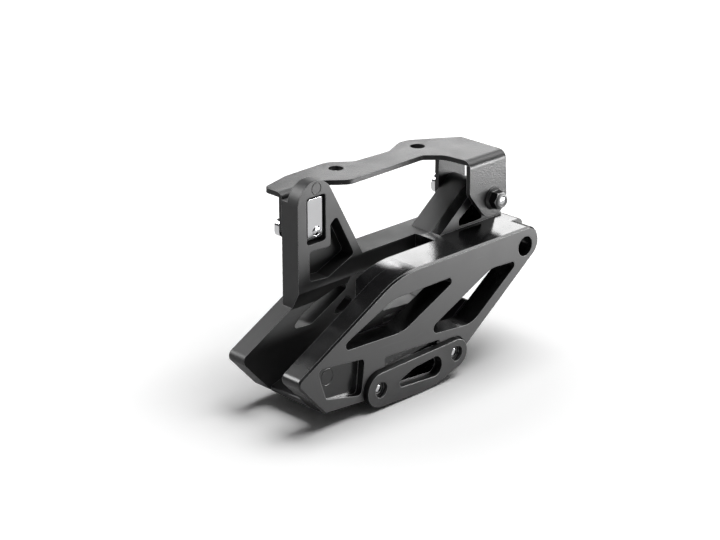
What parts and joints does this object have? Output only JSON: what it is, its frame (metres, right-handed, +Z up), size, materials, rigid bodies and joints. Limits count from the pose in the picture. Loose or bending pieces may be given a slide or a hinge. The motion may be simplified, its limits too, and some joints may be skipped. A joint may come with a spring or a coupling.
{
  "type": "motorcycle chain guide",
  "caption": "Moulded motorcycle chain guide with windowed walls, a slotted roof, an oval link plate and a folded steel bracket bolted to two towers.",
  "frame": {"origin": "below the middle of the whole guide, at the height of the wear block's flat underside", "axes": "+X from the nose to the rear ear along the chain's run, +Y from the near wall with the link plate to the far wall, +Z up"},
  "size_m": [0.2, 0.079, 0.1313],
  "materials": {
    "black_plastic": "satin moulded",
    "wear_plastic": "smooth moulded",
    "plate_plastic": "fine satin",
    "coated_steel": "fine textured powder coat",
    "zinc_steel": "bright zinc plated",
    "black_steel": "black oxide",
    "nylon": "smooth"
  },
  "bodies": {
    "root": {"guide_body": "black_plastic", "wear_block": "wear_plastic", "link_plate": "plate_plastic", "mounting_bracket": "coated_steel", "front_bolt": "zinc_steel", "front_nut_plate": "zinc_steel", "front_lock_plate": "zinc_steel", "front_sleeve": "zinc_steel", "rear_bolt": "zinc_steel", "rear_nut": "black_steel", "rear_nut_ring": "nylon", "rear_lock_plate": "zinc_steel", "rear_sleeve": "zinc_steel", "link_bolt_front": "zinc_steel", "link_washer_front": "zinc_steel", "link_sleeve_front": "zinc_steel", "link_bolt_rear": "zinc_steel", "link_washer_rear": "zinc_steel", "link_sleeve_rear": "zinc_steel"}
  },
  "joints": []
}
